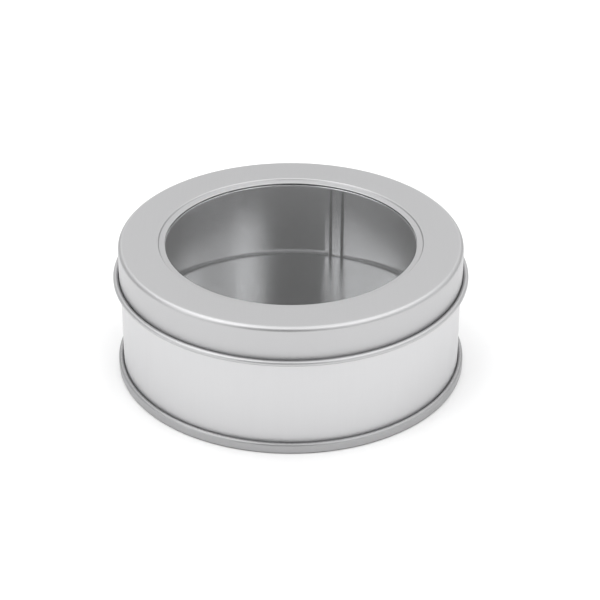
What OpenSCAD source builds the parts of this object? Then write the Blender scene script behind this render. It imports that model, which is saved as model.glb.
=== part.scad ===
// Round tin with a slip lid that has a clear window, in millimetres.
// The tin stands on the ground at z = 0 with its axis on Z, and +Y is its back.
// Every metal piece is one sheet of tinplate that follows a path in the plane of radius and height.

/* [Tin] */
// Diameter across the skirt of the lid
tin_d = 150; // [130:1:200]
// Height from the ground to the top of the lid
tin_h = 60; // [50:1:90]
// Thickness of the tinplate
sheet_t = 0.25; // [0.2:0.01:0.29]

/* [Lid] */
// Height of the lid, from the foot of its curl to its top
lid_h = 17; // [12:0.5:24]
// Outside radius of the corner between the lid's top and its skirt
lid_corner_r = 2; // [1.4:0.1:3]
// Diameter of the round curl at the lid's foot
curl_d = 2.5; // [2.2:0.1:2.7]
// How far the curl stands out from the skirt
curl_reach = 2.6; // [2.5:0.1:3]
// Gap all round between the lid's skirt and the wall of the body
lid_gap = 0.3; // [0.25:0.05:0.4]

/* [Window] */
// Diameter of the opening in the lid
window_d = 109.4; // [80:0.2:112]
// Width of the sunk ledge round the opening
ledge_w = 2.4; // [2.2:0.1:5]
// Depth of the ledge below the top of the lid
ledge_drop = 0.9; // [0.8:0.05:1.6]
// Steepness of the step from the top down to the ledge, in degrees
step_angle = 50; // [40:1:80]
// Thickness of the clear pane
pane_t = 0.3; // [0.2:0.05:0.6]
// Depth of the turned-down inner lip of the ring that holds the pane
lip_h = 0.6; // [0.5:0.1:1.2]
// How far that lip stands in from the edge of the opening
lip_reach = 0.4; // [0.2:0.1:1]

/* [Body] */
// Height of the floor panel above the ground
floor_h = 11.9; // [7:0.1:16]
// Outside radius of the floor panel's edge
floor_corner_r = 2.4; // [1:0.1:4]
// Lean of the wall that drops from the floor panel, in degrees
lean_angle = 2; // [1:0.5:3]
// Width of the folded band of the side seam
seam_w = 5.4; // [4:0.1:8]
// Width of the groove between the band and the slope beside it
groove_w = 0.6; // [0.4:0.1:1.5]
// Width of the slope on which the sheet climbs towards the band
slope_w = 2.1; // [1:0.1:4]
// Direction of the side seam, in degrees from the back towards +X
seam_angle = 17.1; // [0:0.1:360]

/* [Base seam] */
// How far the base seam stands out from the wall
chime_reach = 2.3; // [2.2:0.1:3]
// Height of the base seam
chime_h = 4.7; // [4:0.1:6]
// Outside radius at the foot of the base seam
chime_foot_r = 0.8; // [0.75:0.05:1.1]

/* [Hidden] */

$fn = 96;
// Steps in which a quarter turn of the sheet is drawn
quarter_steps = 8;
// Overrun of every cut
over = 1;
// Gap between two layers of a folded seam
fold_gap = 0.2;
// Gap between pieces that are pressed or clamped together
press_gap = 0.05;
// Distance from the middle of one layer of a seam to the middle of the next
pitch = sheet_t + fold_gap;
half_t = sheet_t / 2;

// Lid: radii and heights of the middle of the sheet
lid_r = tin_d / 2;
skirt_r = lid_r - half_t;
top_z = tin_h - half_t;
ledge_z = top_z - ledge_drop;
window_r = window_d / 2;
// The opening's edge is hemmed: the sheet is folded back under the ledge
hem_r = pitch / 2;
hem_share = 0.5;
hem_w = ledge_w * hem_share;
// Round of the step between the top and the ledge, and of its foot
step_top_share = 0.4;
step_foot_share = 0.3;
step_top_r = ledge_drop * step_top_share;
step_foot_r = ledge_drop * step_foot_share;
step_r = window_r + ledge_w;
step_turns = step_foot_r + step_top_r;
step_rise = ledge_drop - step_turns * (1 - cos(step_angle));
step_w = step_turns * sin(step_angle) + step_rise / tan(step_angle);
foot_z = tin_h - lid_h + half_t;
// The skirt turns outward into the curl, whose end stops short of the skirt
curl_out_r = curl_d / 2;
curl_r = curl_out_r - half_t;
curl_mid_r = lid_r + curl_reach - curl_out_r;
flare_r = curl_mid_r - skirt_r;
curl_end = acos((curl_out_r + fold_gap - curl_reach) / curl_out_r);

// Body wall
wall_out = lid_r - sheet_t - lid_gap;
wall_r = wall_out - half_t;
wall_in = wall_out - sheet_t;
// The mouth is curled inward and nests in the corner of the lid, low enough to keep clear of its round
mouth_curl_share = 0.62;
mouth_drop_share = 0.5;
mouth_room = lid_corner_r - sheet_t - lid_gap - half_t;
mouth_curl_r = mouth_room * mouth_curl_share;
mouth_z = top_z - half_t - lid_gap - (mouth_room - mouth_curl_r) * mouth_drop_share;
// Angle at which the curl's inner end stops, in degrees
mouth_curl_angle = 280;

// Base seam, from the outside in: chime wall, body hook, cover hook that lies beside the wall
// The flange turns out of the wall on a bend of two sheets
chime_r = wall_out + chime_reach - half_t;
cover_r = wall_out + press_gap * 2 + half_t;
fold_r = (chime_r - cover_r) / 2;
hook_r = chime_r - fold_r;
chime_turn_r = chime_foot_r - half_t;
hook_turn_r = chime_turn_r - pitch;
flange_z = half_t + pitch;
flange_turn_r = 2 * sheet_t;
hook_top = chime_h - 2 * pitch - half_t;
cover_foot = flange_z + 3 * pitch;

// Floor panel and the wall that drops from it to the seam
panel_z = floor_h - half_t;
drop_r = wall_in - press_gap - half_t;
drop_turn_r = flange_turn_r + pitch;
panel_corner_r = floor_corner_r - half_t;
drop_foot = half_t + drop_turn_r;
// The drop is straight between its two bends, so its lean sets how far out the panel reaches
drop_bottom = [drop_r + drop_turn_r * (1 - cos(lean_angle)), drop_foot - drop_turn_r * sin(lean_angle)];
drop_top_z = panel_z - panel_corner_r * (1 - sin(lean_angle));
drop_top_r = drop_bottom[0] - (drop_top_z - drop_bottom[1]) * tan(lean_angle);
panel_r = drop_top_r - panel_corner_r * cos(lean_angle);

// Side seam: four layers of sheet, of which three stand inside the wall
seam_layers = 3;
seam_proud = seam_layers * sheet_t;
seam_in = wall_in - seam_proud;
// The band's two sides are half rounds from its face to the middle of the wall's sheet
side_r = (wall_r - seam_in) / 2;
side_turn = turn(seam_w / 2 - side_r);
slope_turn = turn(seam_w / 2 + groove_w);
slope_end_turn = turn(seam_w / 2 + groove_w + slope_w);
// The seam's foot follows the round of the floor panel's edge
foot_reach = seam_in - panel_r;
foot_r = floor_corner_r + press_gap;
seam_foot = floor_h - floor_corner_r + sqrt(foot_r * foot_r - foot_reach * foot_reach);
seam_top = mouth_z - 2 * mouth_curl_r - sheet_t - press_gap;
// Width and depth of the line that the seam leaves on the outside
seam_line_w = sheet_t;
seam_line_d = sheet_t / 2;

// Window pane and its ring
pane_top = ledge_z - pitch - half_t - press_gap;
pane_foot = pane_top - pane_t;
ring_z = pane_foot - press_gap - half_t;
ring_turn_r = sheet_t;
ring_top_share = 0.3;
ring_top = ledge_z + ledge_drop * ring_top_share;
// The ring's wall ends under the slope of the step, whose underside starts at this point
under_step_r = step_r + (step_foot_r + half_t) * sin(step_angle);
under_step_z = ledge_z + step_foot_r - (step_foot_r + half_t) * cos(step_angle);
ring_in = under_step_r + (ring_top - under_step_z) / tan(step_angle) + press_gap / sin(step_angle);
ring_wall_r = ring_in + half_t;
pane_r = ring_in - fold_gap;
lip_r = window_r - lip_reach + half_t;

// Angle at the axis, in degrees, of a width measured along the inside of the wall
function turn(width) = width / wall_in * 180 / PI;

// A path is a list of pairs: a point, and the square direction on the left of the path's way.
// One end of a path, with its square direction given as an angle
function tip(r, z, angle) = [[[r, z], [cos(angle), sin(angle)]]];

// Round stretch of a path from angle a to angle b about the point [r, z]
function bend(r, z, radius, a, b) =
    let (steps = ceil(abs(b - a) / 90 * quarter_steps), side = b > a ? -1 : 1)
    [for (i = [0 : steps])
        let (t = a + (b - a) * i / steps, out = [cos(t), sin(t)]) [[r, z] + radius * out, side * out]];

// Closed outline of a sheet of even thickness whose middle follows the path
function sheet_outline(path) =
    concat([for (pair = path) pair[0] + half_t * pair[1]],
           [for (i = [len(path) - 1 : -1 : 0]) path[i][0] - half_t * path[i][1]]);

module sheet_ring(path) {
    rotate_extrude() polygon(sheet_outline(path));
}

// Curl of the mouth, the wall, the flange that turns out below it and the hook that turns up
function body_path() = concat(
    bend(wall_r - mouth_curl_r, mouth_z - half_t - mouth_curl_r, mouth_curl_r, mouth_curl_angle, 0),
    bend(wall_r + flange_turn_r, flange_z + flange_turn_r, flange_turn_r, 180, 270),
    bend(hook_r - hook_turn_r, flange_z + hook_turn_r, hook_turn_r, 270, 360),
    tip(hook_r, hook_top, 180));

// Floor panel, its drop inside the wall, the foot of the seam, the chime and the cover hook
function base_path() = concat(
    tip(0, panel_z, 90),
    bend(panel_r, panel_z - panel_corner_r, panel_corner_r, 90, lean_angle),
    bend(drop_r + drop_turn_r, drop_foot, drop_turn_r, 180 + lean_angle, 270),
    bend(chime_r - chime_turn_r, half_t + chime_turn_r, chime_turn_r, 270, 360),
    bend(hook_r, chime_h - half_t - fold_r, fold_r, 0, 180),
    tip(cover_r, cover_foot, 0));

// Hem of the opening, ledge, step, top, corner, skirt and curl
function lid_path() = concat(
    tip(window_r + half_t + hem_r + hem_w, ledge_z - 2 * hem_r, 270),
    bend(window_r + half_t + hem_r, ledge_z - hem_r, hem_r, 270, 90),
    bend(step_r, ledge_z + step_foot_r, step_foot_r, 270, 270 + step_angle),
    bend(step_r + step_w, top_z - step_top_r, step_top_r, 90 + step_angle, 90),
    bend(lid_r - lid_corner_r, tin_h - lid_corner_r, lid_corner_r - half_t, 90, 0),
    bend(curl_mid_r, foot_z + flare_r, flare_r, 180, 270),
    bend(curl_mid_r, foot_z + curl_r, curl_r, 270, 360 + curl_end));

// Turned-down lip, flat under the pane and the wall sprung under the slope of the step
function ring_path() = concat(
    tip(lip_r, ring_z - lip_h, 180),
    bend(lip_r + ring_turn_r, ring_z - ring_turn_r, ring_turn_r, 180, 90),
    bend(ring_wall_r - ring_turn_r, ring_z + ring_turn_r, ring_turn_r, 270, 360),
    tip(ring_wall_r, ring_top, 180));

// Folded band of the side seam with a rounded side on each edge, and the slope on its left
module side_seam() {
    height = seam_top - seam_foot;
    rotate(90 - seam_angle) translate([0, 0, seam_foot]) {
        rotate(-side_turn)
            rotate_extrude(angle = 2 * side_turn)
                translate([seam_in, 0]) square([wall_r - seam_in, height]);
        for (side = [-1, 1])
            rotate(side * side_turn)
                translate([seam_in + side_r, 0, 0]) cylinder(r = side_r, h = height);
        linear_extrude(height)
            polygon([in_wall(slope_end_turn, 0),
                     in_wall(slope_turn, half_t + sheet_t),
                     in_wall(slope_turn, 0)]);
    }
}

// Point in the plan of the seam, at an angle and a depth inward from the middle of the wall's sheet
function in_wall(angle, depth) = (wall_r - depth) * [cos(angle), sin(angle)];

// Fine line down the outside where one end of the sheet dips under the other
module seam_line() {
    rotate(90 - seam_angle + side_turn)
        translate([wall_out - seam_line_d, -seam_line_w / 2, chime_h])
            cube([seam_line_d + over, seam_line_w, seam_top - chime_h]);
}

module body_wall() {
    color("gainsboro") difference() {
        union() {
            sheet_ring(body_path());
            side_seam();
        }
        seam_line();
    }
}

module base() {
    color("darkgray") sheet_ring(base_path());
}

module lid() {
    color("silver") sheet_ring(lid_path());
}

module window_pane() {
    color("white", 0.3) translate([0, 0, pane_foot]) cylinder(r = pane_r, h = pane_t);
}

module window_retainer() {
    color("lightgray") sheet_ring(ring_path());
}

body_wall();
base();
lid();
window_pane();
window_retainer();
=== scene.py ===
"""Round tin with a slip lid and a clear window, dressed for its picture. Metres, +Z up, +Y the back."""
import math

import bpy
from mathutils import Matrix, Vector


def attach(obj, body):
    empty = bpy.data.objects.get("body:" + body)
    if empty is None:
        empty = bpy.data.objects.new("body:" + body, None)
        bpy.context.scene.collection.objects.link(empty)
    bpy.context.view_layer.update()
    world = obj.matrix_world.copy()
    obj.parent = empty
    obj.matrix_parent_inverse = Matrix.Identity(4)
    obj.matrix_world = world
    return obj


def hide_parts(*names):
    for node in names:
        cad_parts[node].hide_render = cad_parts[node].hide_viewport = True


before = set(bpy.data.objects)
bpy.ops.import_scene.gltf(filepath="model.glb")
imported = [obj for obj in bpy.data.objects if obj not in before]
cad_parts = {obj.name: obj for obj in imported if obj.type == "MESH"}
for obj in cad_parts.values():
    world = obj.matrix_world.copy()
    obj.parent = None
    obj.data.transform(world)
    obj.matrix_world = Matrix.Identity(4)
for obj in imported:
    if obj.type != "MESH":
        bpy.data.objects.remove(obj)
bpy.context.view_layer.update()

MM = 0.001

# Sizes in millimetres and degrees. Radii are to the middle of the sheet, and so are heights named MID.
SHEET = 0.25
HALF = SHEET / 2
# Gap between two layers of a fold, and between pieces that are pressed together
FOLD_GAP = 0.2
PITCH = SHEET + FOLD_GAP
PRESS = 0.05

# Lid: whole height of the tin, outside radius of the skirt, height of the lid, outside radius of its corner
TIN_H = 60.0
LID_R = 75.0
LID_H = 17.0
CORNER_R = 2.0
TOP_MID = TIN_H - HALF
# Curl at the lid's foot: outside radius, and how far it stands out from the skirt
CURL_OUT = 1.25
CURL_REACH = 2.6

# Window: radius of the opening, and the hem folded under its edge
WINDOW_R = 54.7
HEM_R = PITCH / 2
HEM_W = 1.4
HEM_CENTRE = WINDOW_R + HALF + HEM_R
# Ledge round the window: width, depth below the top, and fall towards the opening
LEDGE_W = 2.4
LEDGE_DROP = 0.9
LEDGE_MID = TOP_MID - LEDGE_DROP
LEDGE_TILT = 7.0
# Step from the ledge up to the top: slope, and the rounds at its foot and its top
STEP_R = WINDOW_R + LEDGE_W
STEP_ANGLE = 50.0
STEP_FOOT = 0.27
STEP_TOP = 0.5

# Pane, and the ring under it: upper end of the wall, and the turned-down lip's height and reach inward
PANE_T = 0.3
PANE_MID = LEDGE_MID - PITCH - HALF - PRESS - PANE_T / 2
RING_MID = PANE_MID - PANE_T / 2 - PRESS - HALF
RING_TOP = LEDGE_MID + 0.3 * LEDGE_DROP
LIP_H = 0.6
LIP_REACH = 0.4

# Wall of the tin: gap inside the lid's skirt, upper end, and the curl of the mouth
LID_GAP = 0.3
WALL_OUT = LID_R - SHEET - LID_GAP
WALL_R = WALL_OUT - HALF
WALL_IN = WALL_OUT - SHEET
MOUTH_Z = 59.198
MOUTH_CURL = 0.8215
MOUTH_CURL_END = 280.0
# Flange at the foot of the wall, and the hook at the flange's edge
FLANGE_MID = HALF + PITCH
FLANGE_TURN = 2 * SHEET
HOOK_TURN = 0.225

# Chime: how far its outside stands out from the wall, height, and outside radius of its foot
CHIME_REACH = 2.3
CHIME_R = WALL_OUT + CHIME_REACH - HALF
CHIME_H = 4.7
CHIME_FOOT = 0.8
# Height up to which the outside is a duller grey, partly scuffed by the seaming rolls and partly painted
# shade for the shadowed floor it mirrors, how soft its end is and how ragged
SCUFF_AND_SHADE_TOP = 4.9
SCUFF_AND_SHADE_EDGE = 0.35
SCUFF_AND_SHADE_RAGGED = 0.6
# Floor panel: height, outside radius of its edge, width of the rim that has points of its own
FLOOR_Z = 11.9
FLOOR_ROUND = 2.4
FLOOR_RIM = 4.0
# Drop from the floor panel down inside the wall, which leans a little, and the turn at its foot
LEAN = 2.0
DROP_R = WALL_IN - PRESS - HALF
DROP_TURN = FLANGE_TURN + PITCH

# Side seam: angle to the right of the back, upper end, depth inside the wall, and lengths of its two ends
SEAM_ANGLE = 17.1
SEAM_TOP = 57.23
SEAM_PROUD = 3 * SHEET
SEAM_END_TOP = 0.4
SEAM_END_FOOT = 0.15
# The folded band, the groove on each side of it and the slope on its left: place and depth of each corner
SEAM_SECTION = [(-3.5, 0.0), (-3.1, 0.04), (-2.2, 0.83), (-2.0, 0.86), (2.0, 0.6), (2.2, 0.56), (3.0, 0.0),
                (3.2, 0.0), (3.5, 0.33), (3.65, 0.36), (5.4, 0.03), (5.8, 0.0)]
# Stripes, as the places where each starts, is full, fades and ends: painted shade in the grooves, line
# outside
LEFT_GROOVE = (2.15, 2.6, 3.4, 3.65)
RIGHT_GROOVE = (2.15, 2.6, 3.2, 3.5)
OUTER_LINE = (2.15, 2.25, 2.35, 2.45)
# Stretch of wall with close points, as half its width and their spacing, and the closest points of all
SEAM_HALF_W = 6.2
SEAM_SPACING = 0.2
EDGE_SPACING = 0.05
EDGE_FROM = 1.9
EDGE_TO = 3.8

# Painted shade at its darkest in each place, from 0 to 1, and the heights between which it fades
GROOVE_SHADE = 0.75
FOOT_SHADE = 0.6
FOOT_FADE = (0.1, 0.9)
CHIME_TOP_SHADE = 0.15
CHIME_FADE = (CHIME_H - 0.9, CHIME_H - 0.2)
FLOOR_GAP_SHADE = 0.7
FLOOR_FADE = (FLOOR_Z - 1.3, FLOOR_Z - 0.3)
STEP_SHADE = 0.35
STEP_FADE = (TIN_H - 0.4, TIN_H - 0.05)
# Lower end of the gap round the floor, and width over which the painted shade at the foot of the step sets
# in
FLOOR_GAP_FOOT = 1.0
STEP_SHADE_EDGE = 0.15

# Steps in a quarter turn of a bend, and in a full turn round the tin
BEND_STEPS = 8
TURN_STEPS = 192
# A corner with a smaller radius is a single point on the tin's axis
ON_AXIS = 1e-9


# Paths
def bend(r, z, radius, a, b):
    """Round stretch of a path from angle a to angle b about the point (r, z).

    A path is a list of points of the sheet's middle: radius, height, and the way square to the sheet on its
    left, as one goes along.
    """
    steps = max(2, math.ceil(abs(b - a) / 90 * BEND_STEPS))
    side = -1 if b > a else 1
    points = []
    for i in range(steps + 1):
        t = math.radians(a + (b - a) * i / steps)
        out = (math.cos(t), math.sin(t))
        points.append((r + radius * out[0], z + radius * out[1], side * out[0], side * out[1]))
    return points


def tip(r, z, angle):
    """One point of a path, with the way square to the sheet given as an angle."""
    t = math.radians(angle)
    return [(r, z, math.cos(t), math.sin(t))]


def step_place():
    """Height of the centre of the round at the step's foot, and the width of the step.

    The ledge falls a little towards the opening, so the foot is higher than the opening's edge.
    """
    slope = math.radians(STEP_ANGLE)
    tilt = math.radians(LEDGE_TILT)
    start_r = HEM_CENTRE - HEM_R * math.sin(tilt)
    start_z = LEDGE_MID - HEM_R * (1 - math.cos(tilt))
    end_r = STEP_R + STEP_FOOT * math.sin(tilt)
    foot_z = start_z + (end_r - start_r) * math.tan(tilt) + STEP_FOOT * math.cos(tilt)
    turns = STEP_FOOT + STEP_TOP
    rise = TOP_MID - (foot_z - STEP_FOOT) - turns * (1 - math.cos(slope))
    return foot_z, turns * math.sin(slope) + rise / math.tan(slope)


def lid_path():
    """Hem of the opening, ledge, step, top, corner, skirt and curl."""
    step_z, step_w = step_place()
    foot_z = TIN_H - LID_H + HALF
    curl = CURL_OUT - HALF
    curl_r = LID_R + CURL_REACH - CURL_OUT
    flare = curl_r - LID_R + HALF
    curl_end = math.degrees(math.acos((CURL_OUT + FOLD_GAP - CURL_REACH) / CURL_OUT))
    return (tip(HEM_CENTRE + HEM_W, LEDGE_MID - 2 * HEM_R, 270)
            + bend(HEM_CENTRE, LEDGE_MID - HEM_R, HEM_R, 270, 90 + LEDGE_TILT)
            + bend(STEP_R, step_z, STEP_FOOT, 270 + LEDGE_TILT, 270 + STEP_ANGLE)
            + bend(STEP_R + step_w, TOP_MID - STEP_TOP, STEP_TOP, 90 + STEP_ANGLE, 90)
            + bend(LID_R - CORNER_R, TIN_H - CORNER_R, CORNER_R - HALF, 90, 0)
            + bend(curl_r, foot_z + flare, flare, 180, 270)
            + bend(curl_r, foot_z + curl, curl, 270, 360 + curl_end))


def chime_fold():
    """Radius of the fold on top of the base seam, from the chime back to the wall of the tin."""
    return (CHIME_R - WALL_OUT - 2 * PRESS - HALF) / 2


def wall_path():
    """Curl of the mouth, the wall, the flange that turns out below it and the hook that turns up."""
    hook_r = CHIME_R - chime_fold()
    foot = seam_foot()
    return (bend(WALL_R - MOUTH_CURL, MOUTH_Z - HALF - MOUTH_CURL, MOUTH_CURL, MOUTH_CURL_END, 0)
            + tip(WALL_R, SEAM_TOP, 0)
            + tip(WALL_R, SEAM_TOP - SEAM_END_TOP, 0)
            + tip(WALL_R, foot + SEAM_END_FOOT, 0)
            + tip(WALL_R, foot, 0)
            + bend(WALL_R + FLANGE_TURN, FLANGE_MID + FLANGE_TURN, FLANGE_TURN, 180, 270)
            + bend(hook_r - HOOK_TURN, FLANGE_MID + HOOK_TURN, HOOK_TURN, 270, 360)
            + tip(hook_r, CHIME_H - 2 * PITCH - HALF, 180))


def panel_end():
    """Radius and height of the centre of the floor panel's rounded edge."""
    lean = math.radians(LEAN)
    low_r = DROP_R + DROP_TURN * (1 - math.cos(lean))
    low_z = HALF + DROP_TURN * (1 - math.sin(lean))
    rounding = FLOOR_ROUND - HALF
    high_z = FLOOR_Z - HALF - rounding * (1 - math.sin(lean))
    high_r = low_r - (high_z - low_z) * math.tan(lean)
    return high_r - rounding * math.cos(lean), FLOOR_Z - FLOOR_ROUND


def seam_foot():
    """Height at which the side seam meets the round of the floor panel's edge."""
    centre_r, centre_z = panel_end()
    reach = FLOOR_ROUND + PRESS
    return centre_z + math.sqrt(reach ** 2 - (WALL_IN - SEAM_PROUD - centre_r) ** 2)


def base_path():
    """Floor panel, its drop inside the wall, the foot of the seam, the chime and the cover hook."""
    centre_r, centre_z = panel_end()
    foot = CHIME_FOOT - HALF
    fold = chime_fold()
    return (tip(0, FLOOR_Z - HALF, 90)
            + tip(centre_r - FLOOR_RIM, FLOOR_Z - HALF, 90)
            + bend(centre_r, centre_z, FLOOR_ROUND - HALF, 90, LEAN)
            + bend(DROP_R + DROP_TURN, HALF + DROP_TURN, DROP_TURN, 180 + LEAN, 270)
            + bend(CHIME_R - foot, HALF + foot, foot, 270, 360)
            + bend(CHIME_R - fold, CHIME_H - HALF - fold, fold, 0, 180)
            + tip(CHIME_R - 2 * fold, HALF + 4 * PITCH, 0))


def ring_in():
    """Inner radius of the window ring's wall, which ends under the slope of the step."""
    slope = math.radians(STEP_ANGLE)
    under_r = STEP_R + (STEP_FOOT + HALF) * math.sin(slope)
    under_z = LEDGE_MID + STEP_FOOT - (STEP_FOOT + HALF) * math.cos(slope)
    return under_r + (RING_TOP - under_z) / math.tan(slope) + PRESS / math.sin(slope)


def ring_path():
    """Turned-down lip, flat under the pane and the wall sprung under the step."""
    lip_r = WINDOW_R - LIP_REACH + HALF
    wall_r = ring_in() + HALF
    return (tip(lip_r, RING_MID - LIP_H, 180)
            + bend(lip_r + SHEET, RING_MID - SHEET, SHEET, 180, 90)
            + bend(wall_r - SHEET, RING_MID + SHEET, SHEET, 270, 360)
            + tip(wall_r, RING_TOP, 180))


# Relief and painted shade
def ease(x, a, b):
    """Smooth rise from 0 at a to 1 at b."""
    t = min(1.0, max(0.0, (x - a) / (b - a)))
    return t * t * (3 - 2 * t)


def stripe(s, start, full, fade, end):
    """1 across a stripe with soft edges, and 0 beside it."""
    return ease(s, start, full) - ease(s, fade, end)


def seam_depth(s):
    """Depth of the side seam on the inside of the wall.

    s is the way round the wall from the middle of the seam, and grows to the left as the camera sees it.
    """
    for (a, low), (b, high) in zip(SEAM_SECTION, SEAM_SECTION[1:]):
        if a <= s <= b:
            return low + (high - low) * (s - a) / (b - a)
    return 0.0


def wall_relief(side, z, s):
    """Seam inside the wall, side 1, and its fine line outside, side 0. Both end where the seam does."""
    if z > SEAM_TOP - SEAM_END_TOP / 2 or z < seam_foot() + SEAM_END_FOOT / 2:
        return 0.0
    return seam_depth(s) if side == 1 else -HALF * stripe(s, *OUTER_LINE)


def wall_painted_shade(side, r, z, s):
    """Painted shade in the two grooves of the side seam, darkening them as shade would. s is None away from
    the seam.
    """
    if side == 0 or s is None or z > SEAM_TOP or z < seam_foot():
        return 0.0
    return GROOVE_SHADE * (stripe(s, *LEFT_GROOVE) + stripe(-s, *RIGHT_GROOVE))


def base_painted_shade(side, r, z, s):
    """Painted shade in the gap round the floor, on the foot of the chime where the floor's shadow is
    mirrored, and on the top of the chime beside the gap to the wall.
    """
    if side == 1 and r > WALL_OUT:
        return FOOT_SHADE * (1 - ease(z, *FOOT_FADE)) + CHIME_TOP_SHADE * ease(z, *CHIME_FADE)
    if side == 1 or r > WALL_IN or z < FLOOR_GAP_FOOT:
        return 0.0
    return FLOOR_GAP_SHADE * (1 - ease(z, *FLOOR_FADE))


def lid_painted_shade(side, r, z, s):
    """Painted shade on the step round the window, from its foot up, where a shadow line falls."""
    if side == 1 or r > STEP_R + step_place()[1]:
        return 0.0
    return STEP_SHADE * ease(r, STEP_R, STEP_R + STEP_SHADE_EDGE) * (1 - ease(z, *STEP_FADE))


def lid_skin(side, r):
    """The lid's satin skin is on top and on the curl, which turns the inside of the sheet out."""
    curl_from = LID_R + 0.3
    return 0 if side == 0 or r > curl_from else 1


# Columns
def plain_columns():
    """Angles round the tin at which a piece has points, each with its s. All are away from the seam."""
    return [(360 * i / TURN_STEPS, None) for i in range(TURN_STEPS)]


def wall_columns():
    """Columns of the wall, close together at the seam and closest where its sides and grooves are."""
    seam = 90 - SEAM_ANGLE
    places = []
    s = -SEAM_HALF_W
    while s < SEAM_HALF_W:
        places.append(s)
        s += EDGE_SPACING if EDGE_FROM < abs(s) < EDGE_TO else SEAM_SPACING
    places.append(SEAM_HALF_W)
    half_angle = math.degrees(SEAM_HALF_W / WALL_IN)
    rest = 360 - 2 * half_angle
    plain = int(TURN_STEPS * rest / 360)
    columns = [(seam + math.degrees(s / WALL_IN), s) for s in places]
    columns += [(seam + half_angle + rest * i / plain, None) for i in range(1, plain)]
    return columns


# Meshes
def sheet_section(path):
    """Section of a sheet of even thickness: along its left skin, side 0, and back along its right, side 1.

    Each corner of a section is a side, a radius, a height and the way outward.
    """
    left = [(0, r + HALF * nr, z + HALF * nz, nr, nz) for r, z, nr, nz in path]
    right = [(1, r - HALF * nr, z - HALF * nz, -nr, -nz) for r, z, nr, nz in reversed(path)]
    return left + right


def round_way(angle):
    """Way outward and way along the rim at an angle round the tin."""
    t = math.radians(angle)
    return Vector((math.cos(t), math.sin(t), 0)), Vector((-math.sin(t), math.cos(t), 0))


def corner_ring(corner, columns, relief, painted_shade_of):
    """Points, normals and painted shade that one corner of a section makes round the tin."""
    side, r, z, nr, nz = corner
    if r < ON_AXIS:
        return [Vector((0, 0, z)) * MM], [Vector((0, 0, nz))] * len(columns), [0.0]
    near = 0.01
    points, normals, shades = [], [], []
    for angle, s in columns:
        out, along = round_way(angle)
        depth, tilt = 0.0, 0.0
        if relief is not None and s is not None:
            depth = relief(side, z, s)
            tilt = (relief(side, z, s + near) - relief(side, z, s - near)) / (2 * near)
        points.append(((r + nr * depth) * out + Vector((0, 0, z + nz * depth))) * MM)
        normals.append((nr * out - tilt * along + Vector((0, 0, nz))).normalized())
        shades.append(painted_shade_of(side, r, z, s) if painted_shade_of is not None else 0.0)
    return points, normals, shades


def turned_piece(name, section, columns, skins, relief=None, painted_shade_of=None, skin_of=None):
    """Turns a closed section round the tin's axis into a mesh with exact normals.

    Each skin is the material of one side, or of what skin_of(side, r) says.
    A face between two sides is the cut edge of the sheet, and is flat.
    """
    points, shades, rings, normals = [], [], [], []
    for corner in section:
        ring, ring_normals, ring_shades = corner_ring(corner, columns, relief, painted_shade_of)
        first = len(points)
        rings.append([first + j % len(ring) for j in range(len(columns))])
        points += ring
        shades += ring_shades
        normals.append(ring_normals)
    faces, loops, slots = [], [], []
    for k, (side, r, z, nr, nz) in enumerate(section):
        following = (k + 1) % len(section)
        if r < ON_AXIS and section[following][1] < ON_AXIS:
            continue
        for j in range(len(columns)):
            beside = (j + 1) % len(columns)
            corners = [(k, j), (following, j), (following, beside), (k, beside)]
            ids = [rings[a][b] for a, b in corners]
            keep = [i for i in range(4) if ids[i] != ids[i - 1]]
            if section[following][0] != side:
                flat = nz * round_way(columns[j][0])[0] - Vector((0, 0, nr))
                loops += [flat] * len(keep)
            else:
                loops += [normals[corners[i][0]][corners[i][1]] for i in keep]
            faces.append([ids[i] for i in keep])
            slots.append(side if skin_of is None else skin_of(side, r))
    mesh = bpy.data.meshes.new(name)
    mesh.from_pydata(points, [], faces)
    for material in skins:
        mesh.materials.append(material)
    mesh.polygons.foreach_set("material_index", slots)
    mesh.polygons.foreach_set("use_smooth", [True] * len(faces))
    mesh.normals_split_custom_set(loops)
    # Per-point painted shade, which the materials read to darken grooves, gaps and edges
    if painted_shade_of is not None:
        mesh.attributes.new("painted_shade_value", "FLOAT", "POINT").data.foreach_set("value", shades)
    mesh.update()
    return new_object(name, mesh)


def new_object(name, data):
    """Puts new data into the scene as an object of its own."""
    thing = bpy.data.objects.new(name, data)
    bpy.context.scene.collection.objects.link(thing)
    return thing


# Materials
def linear(code):
    """Linear colour of an sRGB hex value."""
    values = [int(code[i:i + 2], 16) / 255 for i in (1, 3, 5)]
    return tuple(v / 12.92 if v <= 0.04045 else ((v + 0.055) / 1.055) ** 2.4 for v in values) + (1.0,)


def add(tree, kind, inputs=None, **settings):
    """Adds a node with its settings, and links or sets its inputs."""
    node = tree.nodes.new(kind)
    for key, value in settings.items():
        setattr(node, key, value)
    for key, value in (inputs or {}).items():
        if isinstance(value, bpy.types.NodeSocket):
            tree.links.new(value, node.inputs[key])
        else:
            node.inputs[key].default_value = value
    return node


def new_material(name):
    """Material with an empty tree of nodes."""
    material = bpy.data.materials.new(name)
    material.use_nodes = True
    material.node_tree.nodes.clear()
    return material


# Roughness of the two finishes, and how much the roll lines stretch a reflection in the bright one
SATIN = 0.45
BRIGHT = 0.2
GRAIN = 0.5
# Roll lines in a metre, across and along. Real ones are 0.05 mm wide, too fine to show: these are 0.6 mm
LINES_PER_M = 1700
ENDS_PER_M = 30
UPRIGHT = (LINES_PER_M, LINES_PER_M, ENDS_PER_M)
FRONT_TO_BACK = (LINES_PER_M, ENDS_PER_M, LINES_PER_M)


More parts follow.
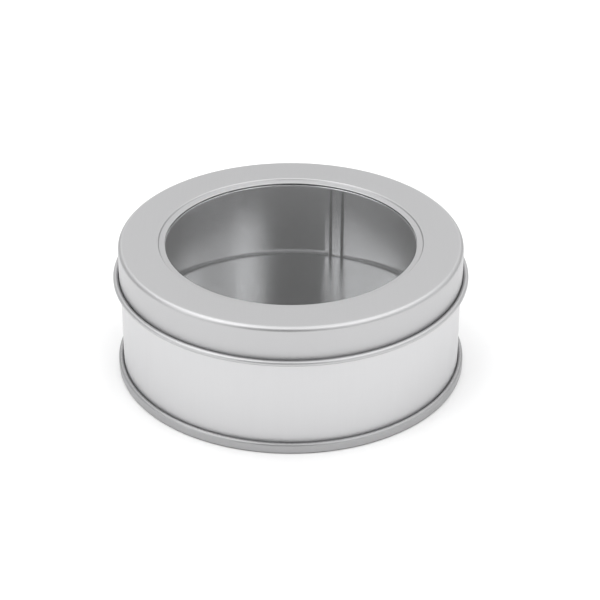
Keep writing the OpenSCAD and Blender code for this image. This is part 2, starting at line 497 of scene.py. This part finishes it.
def tinplate(name, colour, roughness, lines, grain=0.0, scuffed_and_shaded=None, with_painted_shade=False):
    """Cold-rolled steel sheet with a coat of tin. Its fine roll lines give a soft grain along the strip."""
    material = new_material(name)
    tree = material.node_tree
    place = add(tree, "ShaderNodeTexCoord").outputs["Object"]
    strip = add(tree, "ShaderNodeMapping", {"Vector": place, "Scale": lines})
    marks = add(tree, "ShaderNodeTexNoise", {"Vector": strip.outputs["Vector"], "Scale": 1.0, "Detail": 3.0})
    rough = add(tree, "ShaderNodeMapRange", {
        "Value": marks.outputs["Fac"], "From Min": 0.3, "From Max": 0.7,
        "To Min": roughness - 0.02, "To Max": roughness + 0.02})
    relief = add(tree, "ShaderNodeBump", {
        "Height": marks.outputs["Fac"], "Strength": 0.05, "Distance": 0.0002})
    tone = linear(colour)
    if scuffed_and_shaded is not None:
        tone = scuffed_and_shaded_tone(tree, place, tone, linear(scuffed_and_shaded))
    if with_painted_shade:
        tone = painted_shade_tone(tree, tone)
    metal = add(tree, "ShaderNodeBsdfPrincipled", {
        "Base Color": tone, "Metallic": 1.0, "Anisotropic": grain,
        "Roughness": rough.outputs["Result"], "Normal": relief.outputs["Normal"]})
    add(tree, "ShaderNodeOutputMaterial", {"Surface": metal.outputs["BSDF"]})
    return material


def scuffed_and_shaded_tone(tree, place, colour, scuffed_and_shaded):
    """Duller colour up to the top of the base seam, with a ragged end: partly scuff, partly painted shade.
    """
    height = add(tree, "ShaderNodeSeparateXYZ", {0: place}).outputs["Z"]
    marks = add(tree, "ShaderNodeTexNoise", {"Vector": place, "Scale": 900.0})
    ragged = add(tree, "ShaderNodeMath", {
        0: marks.outputs["Fac"], 1: SCUFF_AND_SHADE_RAGGED * MM, 2: height}, operation="MULTIPLY_ADD")
    rolled = add(tree, "ShaderNodeMapRange", {
        "Value": ragged.outputs[0],
        "From Min": SCUFF_AND_SHADE_TOP * MM, "From Max": (SCUFF_AND_SHADE_TOP + SCUFF_AND_SHADE_EDGE) * MM})
    return add(tree, "ShaderNodeMix", {
        "Factor": rolled.outputs["Result"], 6: scuffed_and_shaded, 7: colour}, data_type="RGBA").outputs[2]


def painted_shade_tone(tree, colour):
    """Colour that the mesh's per-point value darkens towards a dark grey: painted shade in grooves, gaps and
    edges.
    """
    painted_shade_value = add(tree, "ShaderNodeAttribute", attribute_name="painted_shade_value").outputs["Fac"]
    return add(tree, "ShaderNodeMix", {
        "Factor": painted_shade_value, 6: colour, 7: linear("#4C4C4D")}, data_type="RGBA").outputs[2]


def satin_wall_tin():
    """Stone-finish tinplate outside the wall. It spreads the light into one even pale grey."""
    return tinplate("satin_tinplate_wall", "#D0D0D1", SATIN, UPRIGHT)


def satin_lid_tin():
    """Stone-finish tinplate on top of the lid, a darker grey than the wall's, with painted shade on the step
    round the window.
    """
    return tinplate("satin_tinplate_lid", "#BFBFC0", SATIN, FRONT_TO_BACK, with_painted_shade=True)


def bright_wall_tin():
    """Bright tinplate inside the wall. It mirrors the light in soft upright streaks, and has painted shade
    in the grooves of the side seam.
    """
    return tinplate("bright_tinplate_wall", "#CFCFD0", BRIGHT, UPRIGHT, GRAIN, with_painted_shade=True)


def bright_floor_tin():
    """Bright tinplate of the floor panel. It mirrors the wall and the seam, with a line of painted shade in
    the gap round it.
    """
    return tinplate("bright_tinplate_floor", "#CFCFD0", BRIGHT, FRONT_TO_BACK, GRAIN, with_painted_shade=True)


def bright_flat_tin():
    """Bright tinplate under the lid and on the ring that holds the pane."""
    return tinplate("bright_tinplate_flat", "#CFCFD0", BRIGHT, FRONT_TO_BACK, GRAIN)


def rolled_base_tin():
    """Tinplate outside the base, a dull grey partly scuffed by the seaming rolls and partly painted shade
    for the shadowed floor it mirrors.
    """
    return tinplate("rolled_tinplate_base", "#CFCFD0", SATIN, FRONT_TO_BACK,
                    scuffed_and_shaded="#B2B2B3", with_painted_shade=True)


def clear_pane_sheet():
    """Clear PET sheet, calendered smooth. It shows sharp reflections and hardly any colour."""
    material = new_material("clear_pet_sheet")
    tree = material.node_tree
    sheet = add(tree, "ShaderNodeBsdfPrincipled", {
        "Base Color": linear("#FBFCFC"), "Roughness": 0.03, "IOR": 1.57, "Transmission Weight": 1.0})
    add(tree, "ShaderNodeOutputMaterial", {"Surface": sheet.outputs["BSDF"]})
    return material


def white_paper():
    """Matt white paper under the tin. It shows only the soft shadow."""
    material = new_material("matt_white_paper")
    tree = material.node_tree
    paper = add(tree, "ShaderNodeBsdfPrincipled", {
        "Base Color": linear("#F7F7F7"), "Roughness": 1.0, "Specular IOR Level": 0.0})
    add(tree, "ShaderNodeOutputMaterial", {"Surface": paper.outputs["BSDF"]})
    return material


# Pieces of the tin
def fit(piece, node, body):
    """Puts a piece in the place of a node, on that node's body."""
    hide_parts(node)
    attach(piece, body)


def make_wall():
    """One rolled sheet, locked by the side seam: satin outside and bright inside."""
    wall = turned_piece("tin_wall", sheet_section(wall_path()), wall_columns(),
                        [satin_wall_tin(), bright_wall_tin()], relief=wall_relief, painted_shade_of=wall_painted_shade)
    fit(wall, "body_wall", "tin")


def make_base():
    """One pressed sheet: bright floor panel, and an outside where it is folded into the base seam, duller
    partly from scuffing and partly from painted shade.
    """
    base = turned_piece("tin_base", sheet_section(base_path()), plain_columns(),
                        [bright_floor_tin(), rolled_base_tin()], painted_shade_of=base_painted_shade)
    fit(base, "base", "tin")


def make_lid(inside):
    """One drawn sheet: satin on top and on the skirt, bright inside."""
    lid = turned_piece("tin_lid", sheet_section(lid_path()), plain_columns(),
                       [satin_lid_tin(), inside], painted_shade_of=lid_painted_shade, skin_of=lid_skin)
    fit(lid, "lid", "lid_assembly")


def make_window_ring(tin):
    """Thin pressed ring that clamps the pane from below."""
    ring = turned_piece("window_ring", sheet_section(ring_path()), plain_columns(), [tin, tin])
    fit(ring, "window_retainer", "lid_assembly")


def make_pane():
    """Clear disc with a round edge."""
    half = PANE_T / 2
    edge_r = ring_in() - FOLD_GAP - half
    section = [(0, 0, PANE_MID + half, 0, 1)]
    section += [(0,) + point for point in bend(edge_r, PANE_MID, half, 90, -90)]
    section += [(0, 0, PANE_MID - half, 0, -1)]
    pane = turned_piece("clear_pane", section, plain_columns(), [clear_pane_sheet()])
    fit(pane, "window_pane", "lid_assembly")


# Softboxes of the studio: azimuth, elevation, half width, half height, softness of the edge, strength
SOFTBOXES = {
    "overhead": (0, 90, 0.4, 0.4, 0.15, 0.6),
    "high_front": (0, 64, 0.7, 0.25, 0.12, 1.3),
    "high_back": (180, 64, 0.7, 0.25, 0.12, 1.0),
    "high_left": (-90, 64, 0.4, 0.25, 0.12, 1.9),
    "high_right": (90, 64, 0.4, 0.25, 0.12, 1.45),
    "left_bank": (-58, 30, 0.42, 0.47, 0.04, 1.38),
    "left_side": (-98, 30, 0.42, 0.47, 0.12, 0.6),
    "right_strip": (29, 30, 0.15, 0.47, 0.05, 1.28),
    "right_bank": (56, 30, 0.36, 0.47, 0.12, 0.82),
    "right_side": (98, 30, 0.42, 0.47, 0.12, 1.0),
    "back_left": (-146, 30, 0.4, 0.47, 0.15, 0.75),
    "back_right": (146, 30, 0.4, 0.47, 0.15, 0.75),
    "back": (180, 30, 0.4, 0.47, 0.15, 0.52),
    "back_low": (180, 4, 0.3, 0.12, 0.06, 1.4),
}
AMBIENT = 0.01


def softbox(tree, way, azimuth, elevation, half_w, half_h, soft, strength):
    """Glow of one flat softbox far away, seen in the direction `way`.

    An azimuth of 0 is towards the camera, and grows to the right. Widths and heights are at unit distance.
    """
    a, e = math.radians(azimuth), math.radians(elevation)
    edge_on = 0.02
    centre = (math.sin(a) * math.cos(e), -math.cos(a) * math.cos(e), math.sin(e))
    right = (math.cos(a), math.sin(a), 0)
    up = (-math.sin(a) * math.sin(e), math.cos(a) * math.sin(e), math.cos(e))
    ahead = add(tree, "ShaderNodeVectorMath", {0: way, 1: centre}, operation="DOT_PRODUCT").outputs["Value"]
    safe = add(tree, "ShaderNodeMath", {0: ahead, 1: edge_on}, operation="MAXIMUM").outputs[0]
    glow = add(tree, "ShaderNodeMath", {0: ahead, 1: edge_on}, operation="GREATER_THAN").outputs[0]
    for axis, half in ((right, half_w), (up, half_h)):
        off = add(tree, "ShaderNodeVectorMath", {0: way, 1: axis}, operation="DOT_PRODUCT").outputs["Value"]
        share = add(tree, "ShaderNodeMath", {0: off, 1: safe}, operation="DIVIDE").outputs[0]
        size = add(tree, "ShaderNodeMath", {0: share}, operation="ABSOLUTE").outputs[0]
        edge = add(tree, "ShaderNodeMapRange", {
            "Value": size, "From Min": half + soft, "From Max": half - soft,
            "To Min": 0.0, "To Max": 1.0}, interpolation_type="SMOOTHSTEP").outputs["Result"]
        glow = add(tree, "ShaderNodeMath", {0: glow, 1: edge}, operation="MULTIPLY").outputs[0]
    return add(tree, "ShaderNodeMath", {0: glow, 1: strength}, operation="MULTIPLY").outputs[0]


def light_the_scene():
    """Studio of softboxes with a plain white backdrop behind the tin."""
    world = bpy.data.worlds.new("studio")
    bpy.context.scene.world = world
    world.use_nodes = True
    tree = world.node_tree
    tree.nodes.clear()
    way = add(tree, "ShaderNodeTexCoord").outputs["Generated"]
    total = AMBIENT
    for box in SOFTBOXES.values():
        glow = softbox(tree, way, *box)
        total = add(tree, "ShaderNodeMath", {0: total, 1: glow}, operation="ADD").outputs[0]
    studio = add(tree, "ShaderNodeBackground", {"Color": total, "Strength": 1.0})
    backdrop = add(tree, "ShaderNodeBackground", {"Color": linear("#FFFFFF"), "Strength": 1.0})
    ray = add(tree, "ShaderNodeLightPath")
    seen = add(tree, "ShaderNodeMixShader", {
        0: ray.outputs["Is Camera Ray"], 1: studio.outputs[0], 2: backdrop.outputs[0]})
    add(tree, "ShaderNodeOutputWorld", {"Surface": seen.outputs[0]})


def make_floor():
    """Wide sheet of paper under the tin."""
    mesh = bpy.data.meshes.new("paper_floor")
    reach = 6.0
    corners = [(-reach, -reach, 0), (reach, -reach, 0), (reach, reach, 0), (-reach, reach, 0)]
    mesh.from_pydata(corners, [], [(0, 1, 2, 3)])
    mesh.materials.append(white_paper())
    new_object("paper_floor", mesh)


def make_camera():
    """Camera at the photograph's angle, aimed at the middle of the tin's height."""
    data = bpy.data.cameras.new("camera")
    camera = new_object("camera", data)
    elevation = math.radians(30.49)
    distance = 0.861
    sensor = 36
    focal_widths = 3.2495
    aim = Vector((0, 0, TIN_H / 2 * MM))
    camera.location = aim + distance * Vector((0, -math.cos(elevation), math.sin(elevation)))
    camera.rotation_euler = (math.pi / 2 - elevation, 0, 0)
    data.sensor_width = sensor
    data.lens = sensor * focal_widths
    data.shift_x = 0.0153
    data.shift_y = -0.0029
    data.clip_end = 50
    bpy.context.scene.camera = camera


make_camera()
light_the_scene()
make_floor()
make_wall()
make_base()
bright_flat = bright_flat_tin()
make_lid(bright_flat)
make_window_ring(bright_flat)
make_pane()

bpy.context.scene.view_settings.view_transform = "Standard"
bpy.context.scene.cycles.glossy_bounces = 10
